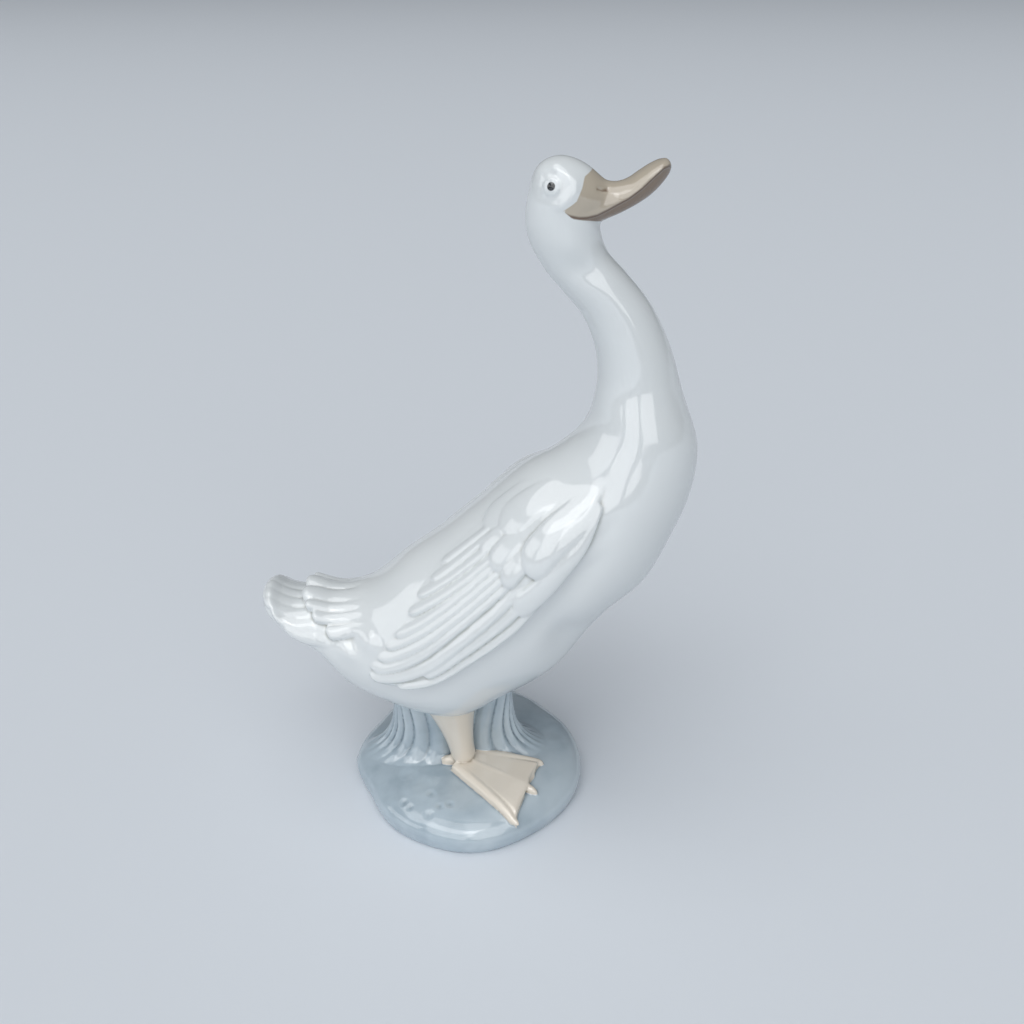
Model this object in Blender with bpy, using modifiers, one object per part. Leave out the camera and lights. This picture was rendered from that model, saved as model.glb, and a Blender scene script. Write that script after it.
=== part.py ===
"""A goose of glazed porcelain on a round grass base, slip-cast in one piece.

Frame: +Z up, the bill toward +X, the origin at the middle of the base's underside.
Lengths are in metres and angles in degrees. The goose is worked out along a bent
spine from the tail to the bill's root: a place on its skin is a share of that spine's
length and an angle round it, from 0 on the back to 180 on the belly.
"""

import math

import bmesh
import bpy
import numpy as np
from mathutils import Matrix, Vector
from mathutils.bvhtree import BVHTree

NAME = "goose_figurine"

# Main sizes: the goose from the tail's tip to the breast, and from the base's top to
# the bill's tip
LENGTH = 0.129
HEIGHT = 0.190

# Base
BASE_RADIUS = 0.0375
BASE_THICKNESS = 0.0095
BASE_MOUND = 0.0012
SIDE_HEIGHT = 0.0045
RIM_SHARPNESS = 8
RIM_TUCK = 0.0022
FOOT_RIM_WIDTH = 0.0065
FOOT_RECESS = 0.0012
VENT_RADIUS = 0.0018
VENT_DEPTH = 0.0045

# Swells and dips of the base's outline: bearing, share of the radius, spread
OUTLINE = (
    (-152, -0.060, 17),
    (-84, 0.052, 24),
    (-22, 0.024, 26),
    (43, -0.034, 24),
    (98, 0.020, 22),
    (152, -0.030, 18),
    (-180, 0.012, 12),
)

# Body, neck and head: half sizes at the fullest place of each
TAIL_DEPTH = 0.0090
TAIL_WIDTH = 0.0136
BODY_DEPTH = 0.0290
BODY_WIDTH = 0.0262
NECK_RADIUS = 0.0088
HEAD_DEPTH = 0.0105
HEAD_WIDTH = 0.0088

# Each row is one section: the X of its centre as a share of the length, the height of
# its centre as a share of the height, its heading up from +X, its half depth and width.
SPINE = (
    (-0.474, 0.313, 22, 0.20 * TAIL_DEPTH, 0.30 * TAIL_WIDTH),
    (-0.464, 0.309, 22, 0.46 * TAIL_DEPTH, 0.55 * TAIL_WIDTH),
    (-0.440, 0.304, 21, 0.78 * TAIL_DEPTH, 0.78 * TAIL_WIDTH),
    (-0.412, 0.289, 20, 0.83 * TAIL_DEPTH, 0.89 * TAIL_WIDTH),
    (-0.377, 0.278, 17, 0.89 * TAIL_DEPTH, 1.00 * TAIL_WIDTH),
    (-0.341, 0.268, 12, 1.22 * TAIL_DEPTH, 1.08 * TAIL_WIDTH),
    (-0.291, 0.247, 9, 0.52 * BODY_DEPTH, 0.64 * BODY_WIDTH),
    (-0.207, 0.237, 11, 0.69 * BODY_DEPTH, 0.80 * BODY_WIDTH),
    (-0.067, 0.253, 17, 0.99 * BODY_DEPTH, 0.96 * BODY_WIDTH),
    (0.021, 0.291, 21, 1.00 * BODY_DEPTH, 1.00 * BODY_WIDTH),
    (0.110, 0.335, 26, 1.01 * BODY_DEPTH, 1.00 * BODY_WIDTH),
    (0.247, 0.435, 31, 0.88 * BODY_DEPTH, 0.97 * BODY_WIDTH),
    (0.313, 0.471, 36, 0.83 * BODY_DEPTH, 0.91 * BODY_WIDTH),
    (0.370, 0.527, 42, 0.72 * BODY_DEPTH, 0.82 * BODY_WIDTH),
    (0.402, 0.585, 54, 0.64 * BODY_DEPTH, 0.69 * BODY_WIDTH),
    (0.409, 0.630, 62, 0.58 * BODY_DEPTH, 0.60 * BODY_WIDTH),
    (0.391, 0.686, 74, 1.44 * NECK_RADIUS, 1.38 * NECK_RADIUS),
    (0.367, 0.747, 86, 1.20 * NECK_RADIUS, 1.14 * NECK_RADIUS),
    (0.329, 0.799, 98, 1.06 * NECK_RADIUS, 1.01 * NECK_RADIUS),
    (0.282, 0.837, 104, 1.00 * NECK_RADIUS, 0.96 * NECK_RADIUS),
    (0.243, 0.868, 104, 0.98 * NECK_RADIUS, 0.95 * NECK_RADIUS),
    (0.218, 0.909, 88, 0.94 * HEAD_DEPTH, 0.95 * HEAD_WIDTH),
    (0.219, 0.931, 67, 0.99 * HEAD_DEPTH, 1.00 * HEAD_WIDTH),
    (0.227, 0.956, 47, 1.00 * HEAD_DEPTH, 1.00 * HEAD_WIDTH),
    (0.253, 0.963, 36, 0.92 * HEAD_DEPTH, 0.90 * HEAD_WIDTH),
    (0.271, 0.959, 25, 0.78 * HEAD_DEPTH, 0.80 * HEAD_WIDTH),
    (0.291, 0.952, 13, 0.58 * HEAD_DEPTH, 0.66 * HEAD_WIDTH),
    (0.310, 0.948, 8, 0.30 * HEAD_DEPTH, 0.45 * HEAD_WIDTH),
)

# The tail is flatter below: the share of its half depth that it loses there, and the
# places on the spine where the body's full depth begins and ends
TAIL_FLATNESS = 0.62
FLAT_END, FULL_START = 0.056, 0.107

# Bill: half width, how far the lower half stands inside the upper one, and the
# thickness of the lips between them
BILL_HALF_WIDTH = 0.0056
BILL_OVERHANG = 0.0006
LIP = 0.0006

# Each row is one upright section of the bill: its X as a share of the length, the
# heights of its ridge, its mouth line and its underside as shares of the height, and
# its share of the half width.
BILL = (
    (0.211, 0.9447, 0.9384, 0.9326, 1.40),
    (0.225, 0.9537, 0.9347, 0.9274, 1.52),
    (0.244, 0.9695, 0.9316, 0.9221, 1.47),
    (0.260, 0.9800, 0.9311, 0.9205, 1.37),
    (0.279, 0.9821, 0.9332, 0.9200, 1.22),
    (0.298, 0.9732, 0.9384, 0.9216, 1.08),
    (0.318, 0.9711, 0.9453, 0.9263, 1.00),
    (0.341, 0.9753, 0.9537, 0.9342, 0.98),
    (0.364, 0.9858, 0.9658, 0.9432, 0.98),
    (0.388, 0.9953, 0.9805, 0.9542, 0.92),
    (0.407, 1.0000, 0.9911, 0.9674, 0.74),
    (0.419, 0.9989, 0.9926, 0.9779, 0.48),
    (0.424, 0.9937, 0.9895, 0.9842, 0.22),
)

# Eyes: a bead inside a raised lid
EYE_ALONG = 0.949
EYE_ANGLE = 61
EYE_RADIUS = 0.0016
EYE_BULGE = 0.0008
LID_RADIUS = 0.0027
LID_THICKNESS = 0.0009

# Wings: rows of the folded wing's pad, each a place on the spine, the angles of its
# upper and lower edges and how far it stands off the body near its lower edge
WING = (
    (0.162, 84, 94, 0.0009),
    (0.192, 70, 94, 0.0015),
    (0.235, 48, 91, 0.0019),
    (0.282, 30, 89, 0.0021),
    (0.342, 22, 89, 0.0022),
    (0.414, 22, 88, 0.0024),
    (0.461, 26, 87, 0.0026),
    (0.504, 34, 77, 0.0024),
    (0.538, 44, 67, 0.0018),
    (0.557, 52, 60, 0.0006),
)
WING_EDGE = 0.12

# Each row is one long feather: its root and its tip on the spine and round it, how far
# round it bows between them, and its half widths at the root and at the tip.
PRIMARIES = (
    (0.412, 28.5, 0.302, 28.0, 0.0, 0.0015, 0.0016),
    (0.412, 33.0, 0.280, 34.5, 0.5, 0.0015, 0.0018),
    (0.414, 39.0, 0.254, 39.5, 1.5, 0.0019, 0.0019),
    (0.418, 45.5, 0.234, 47.0, 1.5, 0.0018, 0.0019),
    (0.418, 50.5, 0.207, 57.0, 0.0, 0.0015, 0.0019),
    (0.418, 55.0, 0.190, 63.5, -0.5, 0.0013, 0.0015),
    (0.420, 59.5, 0.175, 71.5, -2.0, 0.0014, 0.0018),
    (0.424, 64.0, 0.161, 80.0, -3.5, 0.0017, 0.0020),
    (0.424, 70.0, 0.158, 88.0, -2.5, 0.0017, 0.0018),
    (0.424, 77.5, 0.250, 84.5, -1.0, 0.0022, 0.0020),
    (0.424, 84.5, 0.236, 88.0, 0.0, 0.0014, 0.0013),
)
TOP_CROWN, BOTTOM_CROWN = 0.0006, 0.0011

# Each row is one covert over the roots of the long feathers, with its root, tip and
# bow as above, its half width and how far it stands off the wing.
COVERTS = (
    (0.490, 21, 0.386, 25, 0, 0.0052, 0.0009),
    (0.445, 37, 0.371, 38, 0, 0.0026, 0.0010),
    (0.455, 47, 0.377, 51, 0, 0.0040, 0.0014),
    (0.450, 60, 0.385, 63, 0, 0.0032, 0.0016),
    (0.540, 62, 0.384, 78, 9, 0.0034, 0.0014),
    (0.520, 34, 0.408, 35, 0, 0.0060, 0.0014),
    (0.545, 54, 0.421, 66, 0, 0.0062, 0.0022),
)

# Tail: a fan of feathers, and a shorter layer over its root, whose tips curl up. Each
# row of that layer is a feather's angle, its tip on the spine, half width and curl.
TAIL_FEATHERS = 9
TAIL_SPREAD = 84
TAIL_FEATHER_WIDTH = 0.0026
TAIL_CROWN = 0.0010
FAN_ROOT, FAN_TIP, FAN_ROUNDING = 0.111, 0.001, 0.036
LAYER_ROOT = 0.158
TAIL_LAYER = (
    (12, 0.070, 0.0032, 0.0042),
    (29, 0.076, 0.0020, 0.0032),
    (42, 0.085, 0.0021, 0.0020),
    (56, 0.105, 0.0022, 0.0012),
)

# Legs and feet. Each foot is its ankle and heel in plan, and the root and the tip of
# each toe, from the outer toe inward; the near foot is at -Y.
LEG_RADIUS = 0.0040
THIGH_RADIUS = 0.0052
LEG_HEIGHT = 0.028
HIP_BACK = 0.0042
NEAR_FOOT = (
    (-0.0008, -0.0084),
    (-0.0082, -0.0092),
    ((-0.0038, -0.0118), (0.0158, -0.0340)),
    ((0.0004, -0.0100), (0.0205, -0.0224)),
    ((0.0028, -0.0062), (0.0250, -0.0102)),
)
FAR_FOOT = (
    (-0.0160, 0.0088),
    (-0.0232, 0.0096),
    ((-0.0174, 0.0122), (-0.0040, 0.0325)),
    ((-0.0146, 0.0108), (0.0040, 0.0240)),
    ((-0.0125, 0.0070), (0.0088, 0.0120)),
)
TOE_RADIUS = 0.0017
TOE_RISE = 0.0010
TOE_DROOP = 0.0024
HEEL_RADIUS = 0.0018
WEB_THICKNESS = 0.0020
WEB_NOTCH = 0.10

# Grass: a waisted tuft that carries the body, with blades round it
TUFT_CENTRE = (-0.0047, 0.0010)
TUFT_HALF_LENGTH = 0.0192
TUFT_HALF_WIDTH = 0.0064
TUFT_FLARE = (0.0110, 0.0050)
TUFT_LEAN = 18
BLADE_COUNT = 26
BLADE_RADIUS = 0.0021
BLADE_SWEEP = 9
BLADE_RIDGE = 0.0008

# Finish of the cast surface
GRAIN = 0.00065
SOFTENING = 3
FACES = 11300

BURIED = 0.0016
SECTIONS_PER_ROW = 3
SECTION_POINTS = 40


def rows_read(rows, knots, at):
    """Read the rows at a knot value, by a smooth cubic."""
    rows = np.array(rows)
    at = min(max(at, knots[0]), knots[-1])
    i = min(int(np.searchsorted(knots, at, side="right")) - 1, len(rows) - 2)
    slopes = np.gradient(rows, knots, axis=0)
    step = knots[i + 1] - knots[i]
    t = (at - knots[i]) / step
    return (
        (2 * t**3 - 3 * t**2 + 1) * rows[i]
        + (t**3 - 2 * t**2 + t) * step * slopes[i]
        + (3 * t**2 - 2 * t**3) * rows[i + 1]
        + (t**3 - t**2) * step * slopes[i + 1]
    )


def smooth(share):
    """An easy start and end for a share that goes from 0 to 1."""
    share = min(max(share, 0), 1)
    return share * share * (3 - 2 * share)


SECTIONS = [(x * LENGTH, height * HEIGHT, *rest) for x, height, *rest in SPINE]
section_steps = np.hypot(*np.diff(np.array(SECTIONS)[:, :2], axis=0).T)
SPINE_LENGTH = section_steps.sum()
SPINE_KNOTS = np.concatenate([[0], np.cumsum(section_steps)]) / SPINE_LENGTH


def skin(along, angle, lift=0.0):
    """The place on the goose's skin at a share of its spine and an angle round it."""
    x, height, heading, depth, width = rows_read(SECTIONS, SPINE_KNOTS, along)
    heading, angle = math.radians(heading), math.radians(angle)
    if math.cos(angle) < 0:
        depth *= 1 - TAIL_FLATNESS * smooth((FULL_START - along) / (FULL_START - FLAT_END))
    up = Vector((-math.sin(heading), 0, math.cos(heading)))
    centre = Vector((x, 0, BASE_THICKNESS + height))
    across = Vector((0, width + lift, 0))
    return centre + up * (depth + lift) * math.cos(angle) - across * math.sin(angle)


def skin_radius(along, angle):
    """How far the skin moves for each radian round the spine."""
    depth, width = rows_read(SECTIONS, SPINE_KNOTS, along)[3:]
    angle = math.radians(angle)
    return math.hypot(depth * math.sin(angle), width * math.cos(angle))


def loft(mesh, glaze, rings):
    """Skin a row of closed rings of equally many points, and close both ends."""
    made = [[mesh.verts.new(point) for point in ring] for ring in rings]
    faces = [mesh.faces.new(made[0][::-1]), mesh.faces.new(made[-1])]
    for ring, after in zip(made, made[1:]):
        for i in range(len(ring)):
            j = (i + 1) % len(ring)
            faces.append(mesh.faces.new((ring[i], ring[j], after[j], after[i])))
    for face in faces:
        face.material_index = glaze


def tube(mesh, glaze, rows, points=12):
    """A round tube through (place, radius) rows, each ring square to the way through."""
    places = [Vector(row[0]) for row in rows]
    rings = []
    for i, (place, radius) in enumerate(zip(places, [row[1] for row in rows])):
        ahead = places[min(i + 1, len(places) - 1)] - places[max(i - 1, 0)]
        first = ahead.cross(Vector((0, 1, 0.01))).normalized()
        second = ahead.cross(first).normalized()
        turns = [math.tau * k / points for k in range(points)]
        rings.append(
            [place + radius * (first * math.cos(t) + second * math.sin(t)) for t in turns]
        )
    loft(mesh, glaze, rings)


# Shares of the way from a feather's root to its tip, closer together at the tip
FEATHER_STEPS = (0, 0.1, 0.2, 0.3, 0.45, 0.6, 0.72, 0.82, 0.89, 0.94, 0.975, 0.995)


def flat_lift(along, angle):
    """The skin itself, for feathers that lie straight on it."""
    return 0


def feather(mesh, side, root, tip, widths, crown, under=flat_lift, bow=0, curl=0, grown=4):
    """A feather with a round tip that grows out of what it lies on. The larger grown
    is, the sooner it reaches its full height."""
    rings = []
    length = math.hypot(
        (tip[0] - root[0]) * SPINE_LENGTH,
        math.radians(tip[1] - root[1]) * skin_radius(tip[0], tip[1]),
    )
    tip_share = min(1.2 * widths[1] / length, 0.9)
    for t in FEATHER_STEPS:
        along = root[0] + (tip[0] - root[0]) * t
        angle = root[1] + (tip[1] - root[1]) * t + bow * math.sin(math.pi * t)
        radius = skin_radius(along, angle)
        turning = math.radians(tip[1] - root[1] + bow * math.pi * math.cos(math.pi * t))
        ahead = Vector(((tip[0] - root[0]) * SPINE_LENGTH, turning * radius)).normalized()
        rounding = math.sqrt(1 - max((t - 1 + tip_share) / tip_share, 0) ** 2)
        half = (widths[0] + (widths[1] - widths[0]) * t) * rounding
        top = under(along, angle) + (crown + curl * t**3) * rounding**0.5 * smooth(grown * t)
        ring = []
        for k in range(9):
            turn = math.pi * k / 8
            lift = (top + BURIED) * math.sin(turn) ** 0.7 - BURIED
            ring.append((half * math.cos(turn), lift))
        ring.append((-half * 0.6, -2 * BURIED))
        ring.append((half * 0.6, -2 * BURIED))
        rings.append(
            [
                skin(
                    along - over * ahead.y / SPINE_LENGTH,
                    side * (angle + math.degrees(over * ahead.x / radius)),
                    lift,
                )
                for over, lift in ring
            ]
        )
    loft(mesh, GLAZE_WHITE, rings)


def goose_body(mesh):
    rows = range(SECTIONS_PER_ROW * (len(SPINE) - 1) + 1)
    stops = np.interp([i / SECTIONS_PER_ROW for i in rows], range(len(SPINE)), SPINE_KNOTS)
    turns = [360 * k / SECTION_POINTS for k in range(SECTION_POINTS)]
    loft(mesh, GLAZE_WHITE, [[skin(s, turn) for turn in turns] for s in stops])


def bill(mesh):
    sections = [
        (x * LENGTH, ridge * HEIGHT, mouth * HEIGHT, underside * HEIGHT, share)
        for x, ridge, mouth, underside, share in BILL
    ]
    knots = [row[0] for row in sections]
    for lower in (False, True):
        rings = []
        for x in np.linspace(knots[0], knots[-1], 19):
            _, ridge, mouth, underside, share = rows_read(sections, knots, x)
            half = BILL_HALF_WIDTH * share - (BILL_OVERHANG if lower else 0)
            half = max(half, LIP / 2)
            ring = []
            for k in range(16):
                turn = math.tau * k / 16
                above = math.sin(turn) > 0
                if above == lower:
                    reach = LIP
                else:
                    reach = max(mouth - underside if lower else ridge - mouth, LIP / 2)
                height = mouth + reach * math.sin(turn)
                ring.append((x, half * math.cos(turn), BASE_THICKNESS + height))
            rings.append([Vector(point) for point in ring])
        loft(mesh, GLAZE_BILL, rings)


def eye(mesh, side):
    """A black bead with a raised lid round it."""
    place = skin(EYE_ALONG, side * EYE_ANGLE)
    outward = (skin(EYE_ALONG, side * EYE_ANGLE, LIP) - place).normalized()
    turned = outward.to_track_quat("Z", "Y").to_matrix().to_4x4()
    frame = Matrix.Translation(place + EYE_BULGE * outward) @ turned
    bead = bmesh.ops.create_uvsphere(
        mesh, u_segments=12, v_segments=8, radius=EYE_RADIUS, matrix=frame
    )
    for vert in bead["verts"]:
        for face in vert.link_faces:
            face.material_index = GLAZE_EYE
    made = []
    for k in range(16):
        turn = math.tau * k / 16
        out = Vector((math.cos(turn), math.sin(turn), 0))
        circle = []
        for j in range(8):
            bend = math.tau * j / 8
            offset = out * math.cos(bend) + Vector((0, 0, 1)) * math.sin(bend)
            point = out * LID_RADIUS + offset * LID_THICKNESS - Vector((0, 0, EYE_BULGE))
            circle.append(mesh.verts.new(frame @ point))
        made.append(circle)
    for ring, after in zip(made, made[1:] + made[:1]):
        for j in range(8):
            k = (j + 1) % 8
            mesh.faces.new((ring[j], ring[k], after[k], after[j]))


WING_KNOTS = [row[0] for row in WING]


def wing_lift(along, angle):
    """How far the wing's pad stands off the body, which grows from its upper edge down."""
    _, upper, lower, rise = rows_read(WING, WING_KNOTS, along)
    return rise * (0.1 + 0.9 * smooth(1.25 * (angle - upper) / (lower - upper)))


def wing(mesh, side):
    """The folded wing: a pad on the body, long feathers and coverts over their roots."""
    rings = []
    for along in np.linspace(WING_KNOTS[0], WING_KNOTS[-1], 36):
        upper, lower = rows_read(WING, WING_KNOTS, along)[1:3]
        ring = []
        for v in (0, 0.12, 0.25, 0.38, 0.5, 0.62, 0.74, 0.84, 0.9, 0.94, 0.97, 0.99, 1):
            angle = upper + (lower - upper) * v
            off_edge = math.sqrt(1 - max((v - 1 + WING_EDGE) / WING_EDGE, 0) ** 2)
            ring.append(skin(along, side * angle, wing_lift(along, angle) * off_edge))
        ring.append(skin(along, side * lower, -BURIED))
        ring.append(skin(along, side * (upper + lower) / 2, -2 * BURIED))
        ring.append(skin(along, side * upper, -BURIED))
        rings.append(ring)
    loft(mesh, GLAZE_WHITE, rings)
    for k, (start, start_angle, end, end_angle, bow, *widths) in enumerate(PRIMARIES):
        crown = TOP_CROWN + (BOTTOM_CROWN - TOP_CROWN) * k / (len(PRIMARIES) - 1)
        ends = (start, start_angle), (end, end_angle)
        feather(mesh, side, *ends, widths, crown, under=wing_lift, bow=bow)
    for start, start_angle, end, end_angle, bow, width, crown in COVERTS:
        ends = (start, start_angle), (end, end_angle)
        feather(mesh, side, *ends, (width, width), crown, under=wing_lift, bow=bow, grown=1.4)


def tail(mesh):
    for k in range(TAIL_FEATHERS):
        spread = 2 * k / (TAIL_FEATHERS - 1) - 1
        tip = (FAN_TIP + FAN_ROUNDING * spread**2, TAIL_SPREAD * spread)
        root = (FAN_ROOT, 0.8 * TAIL_SPREAD * spread)
        widths = (0.8 * TAIL_FEATHER_WIDTH, TAIL_FEATHER_WIDTH)
        feather(mesh, 1, root, tip, widths, TAIL_CROWN)
    for side in (1, -1):
        for angle, tip_along, width, curl in TAIL_LAYER:
            ends = (LAYER_ROOT, 0.75 * angle), (tip_along, angle)
            feather(mesh, side, *ends, (width, width), TAIL_CROWN, curl=curl)


def base_radius(bearing):
    """The base's radius toward a bearing in degrees, with its swells and dips."""
    share = 1
    for centre, swell, spread in OUTLINE:
        off = (bearing - centre + 180) % 360 - 180
        share += swell * math.exp(-((off / spread) ** 2))
    return BASE_RADIUS * share


def top_height(share):
    """The height of the base's top at a share of its radius, rounding over at the rim."""
    rise = BASE_THICKNESS + BASE_MOUND - SIDE_HEIGHT
    return SIDE_HEIGHT + rise * math.sqrt(max(1 - share**RIM_SHARPNESS, 0))


def on_base(place, lift=0.0):
    """A place in plan, put on the base's top."""
    x, y = place
    share = math.hypot(x, y) / base_radius(math.degrees(math.atan2(y, x)))
    return Vector((x, y, top_height(share) + lift))


def base(mesh):
    quarter = [math.radians(15 * k) for k in range(7)]
    profile = [(1 - 2 * RIM_TUCK / BASE_RADIUS, -BURIED)]
    for turn in quarter[1:-1]:
        share = 1 - RIM_TUCK * (1 - math.sin(turn)) / BASE_RADIUS
        profile.append((share, SIDE_HEIGHT * (1 - math.cos(turn))))
    for turn in quarter:
        share = math.cos(turn) ** (2 / RIM_SHARPNESS)
        profile.append((max(share, 0.1), top_height(share)))
    rings = []
    for share, height in profile:
        ring = []
        for k in range(64):
            bearing = 360 * k / 64
            radius = base_radius(bearing) * share
            turn = math.radians(bearing)
            ring.append(Vector((radius * math.cos(turn), radius * math.sin(turn), height)))
        rings.append(ring)
    loft(mesh, GLAZE_GRASS, rings)


def leg_and_foot(mesh, ankle, heel, *toes):
    """A leg from inside the body down to a webbed foot that lies on the base."""
    ground = on_base(ankle, WEB_THICKNESS / 2)
    hip = Vector((ankle[0] - HIP_BACK, ankle[1], BASE_THICKNESS + LEG_HEIGHT))
    rows = []
    for t in (0, 0.2, 0.4, 0.6, 0.8, 0.92, 1):
        thigh = (THIGH_RADIUS - LEG_RADIUS) * max(1 - 1.2 * t, 0)
        rows.append((hip.lerp(ground, t), (LEG_RADIUS + thigh) * (0.6 if t == 1 else 1)))
    tube(mesh, GLAZE_BILL, rows, points=16)

    # The web lies between the toes, which reach past it. Near the rim the foot bends
    # down with the base's top only a little way.
    lowest = BASE_THICKNESS + BASE_MOUND - TOE_DROOP
    for root, tip in toes:
        rows = []
        for t, share in ((0, 1), (0.3, 1), (0.6, 1), (0.85, 0.92), (0.97, 0.7), (1, 0.3)):
            place = on_base(Vector(root).lerp(Vector(tip), t))
            radius = TOE_RADIUS * share
            place.z = max(place.z, lowest) + WEB_THICKNESS + TOE_RISE * share - radius
            rows.append((place, radius))
        tube(mesh, GLAZE_BILL, rows)
    rings = []
    for u in (0, 0.2, 0.4, 0.6, 0.8, 0.94):
        upper, under = [], []
        for k in range(17):
            first = min(k // 8, 1)
            across = k / 8 - first
            root = Vector(toes[first][0]).lerp(Vector(toes[first + 1][0]), across)
            tip = Vector(toes[first][1]).lerp(Vector(toes[first + 1][1]), across)
            reach = u * (1 - WEB_NOTCH * math.sin(math.pi * across))
            place = on_base(root.lerp(tip, reach))
            upper.append(Vector((*place.xy, max(place.z, lowest) + WEB_THICKNESS)))
            under.append(place - Vector((0, 0, BURIED)))
        rings.append(upper + under[::-1])
    loft(mesh, GLAZE_BILL, rings)
    ends = on_base(ankle, HEEL_RADIUS), on_base(heel, HEEL_RADIUS / 2)
    tube(mesh, GLAZE_BILL, [(ends[0], HEEL_RADIUS), (ends[1], 0.7 * HEEL_RADIUS)], points=8)


UNDER_BELLY = [skin(along, 180) for along in np.linspace(0, 0.6, 90)]


def tuft_place(bearing, t, out=0.0):
    """A place on the tuft's side, from its foot (t 0) up into the belly (t 1)."""
    turn = math.radians(bearing - TUFT_LEAN * math.sin(2 * math.radians(bearing)) * t * t)
    spread = (1 - t) ** 3.5
    x = TUFT_CENTRE[0] + (TUFT_HALF_LENGTH + TUFT_FLARE[0] * spread + out) * math.cos(turn)
    y = TUFT_CENTRE[1] + (TUFT_HALF_WIDTH + TUFT_FLARE[1] * spread + out) * math.sin(turn)
    foot = BASE_THICKNESS - BURIED
    belly = np.interp(x, [place.x for place in UNDER_BELLY], [place.z for place in UNDER_BELLY])
    return Vector((x, y, foot + (belly + 2 * BURIED - foot) * t))


def tuft(mesh):
    stops = (0, 0.08, 0.16, 0.25, 0.35, 0.5, 0.65, 0.8, 0.9, 1)
    rings = [[tuft_place(9 * k, t) for k in range(40)] for t in stops]
    loft(mesh, GLAZE_GRASS, rings)
    for k in range(BLADE_COUNT):
        bearing = 360 * (k + 0.5) / BLADE_COUNT
        sweep = BLADE_SWEEP * math.sin(1.7 * k)
        rows = []
        for t in stops:
            place = tuft_place(bearing + sweep * (1 - t) ** 2, t, BLADE_RIDGE * t**0.5)
            rows.append((place, BLADE_RADIUS * (0.7 + 0.3 * math.sin(math.pi * t))))
        tube(mesh, GLAZE_GRASS, rows, points=8)


def glaze(name, hex_colour, roughness):
    """A glazed colour, from its sRGB hex value."""
    shades = [int(hex_colour[i : i + 2], 16) / 255 for i in (0, 2, 4)]
    linear = [((c + 0.055) / 1.055) ** 2.4 if c > 0.04045 else c / 12.92 for c in shades]
    material = bpy.data.materials.new(name)
    material.use_nodes = True
    shader = material.node_tree.nodes["Principled BSDF"]
    shader.inputs["Base Color"].default_value = (*linear, 1)
    shader.inputs["Roughness"].default_value = roughness
    shader.inputs["Metallic"].default_value = 0
    return material


def collection(name):
    made = bpy.data.collections.new(name)
    bpy.context.scene.collection.children.link(made)
    return made


def mesh_object(name, mesh, holder):
    data = bpy.data.meshes.new(name)
    mesh.to_mesh(data)
    mesh.free()
    made = bpy.data.objects.new(name, data)
    made.hide_render = holder == cutters
    made.display_type = "WIRE" if holder == cutters else "TEXTURED"
    holder.objects.link(made)
    return made


def evaluated_mesh(thing):
    graph = bpy.context.evaluated_depsgraph_get()
    return bpy.data.meshes.new_from_object(thing.evaluated_get(graph))


def round_cutter(name, radius, bottom, top):
    mesh = bmesh.new()
    bmesh.ops.create_cone(
        mesh,
        cap_ends=True,
        segments=48,
        radius1=radius,
        radius2=radius,
        depth=top - bottom,
        matrix=Matrix.Translation((0, 0, (bottom + top) / 2)),
    )
    return mesh_object(name, mesh, cutters)


def ground_plane():
    return round_cutter("ground", 2 * BASE_RADIUS, -10 * BURIED, 0)


def recess():
    return round_cutter("recess", BASE_RADIUS - FOOT_RIM_WIDTH, -BURIED, FOOT_RECESS)


def vent():
    return round_cutter("vent", VENT_RADIUS, -BURIED, FOOT_RECESS + VENT_DEPTH)


for old in list(bpy.data.objects):
    bpy.data.objects.remove(old)
figure = collection("goose figurine")
cutters = collection("cutters")

GLAZE_WHITE, GLAZE_BILL, GLAZE_GRASS, GLAZE_EYE = range(4)
glazes = (
    glaze("white glaze", "DCE2E5", 0.12),
    glaze("beige glaze", "C3B7A6", 0.15),
    glaze("blue-grey glaze", "9FB0BC", 0.12),
    glaze("black glaze", "101418", 0.1),
)

# The forms are modelled one over another, then fused into one skin and softened, as
# slip and glaze soften a carved master.
forms = bmesh.new()
goose_body(forms)
bill(forms)
for side in (1, -1):
    eye(forms, side)
    wing(forms, side)
tail(forms)
base(forms)
tuft(forms)
leg_and_foot(forms, *NEAR_FOOT)
leg_and_foot(forms, *FAR_FOOT)
bmesh.ops.recalc_face_normals(forms, faces=forms.faces)
master = mesh_object("master", forms, cutters)
fused = master.modifiers.new("fuse", "REMESH")
fused.mode = "VOXEL"
fused.voxel_size = GRAIN
softened = master.modifiers.new("soften", "SMOOTH")
softened.iterations = SOFTENING
fine = evaluated_mesh(master)
thinned = master.modifiers.new("thin", "DECIMATE")
thinned.ratio = FACES / (2 * len(fine.polygons))
cast = evaluated_mesh(master)

# Each face takes the glaze of the form that it came from.
source = bmesh.new()
source.from_mesh(master.data)
nearest = BVHTree.FromBMesh(source)
source.faces.ensure_lookup_table()
for material in glazes:
    cast.materials.append(material)
for face in cast.polygons:
    form_face = nearest.find_nearest(face.center)[2]
    face.material_index = source.faces[form_face].material_index
source.free()
cast.shade_smooth()
cast.set_sharp_from_angle(angle=math.radians(50))

goose = bpy.data.objects.new(NAME, cast)
figure.objects.link(goose)

# The underside is ground flat, with a recess inside its foot rim and a vent hole.
for cutter in (ground_plane(), recess(), vent()):
    cut = goose.modifiers.new(cutter.name, "BOOLEAN")
    cut.operation = "DIFFERENCE"
    cut.object = cutter

# The origin is under the middle of the goose's length, from tail tip to breast.
reach = [vert.co.x for vert in cast.vertices]
stand = bpy.data.objects.new("stand", None)
figure.objects.link(stand)
stand.location.x = -(min(reach) + max(reach)) / 2
for thing in (goose, *cutters.objects):
    thing.parent = stand
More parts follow.
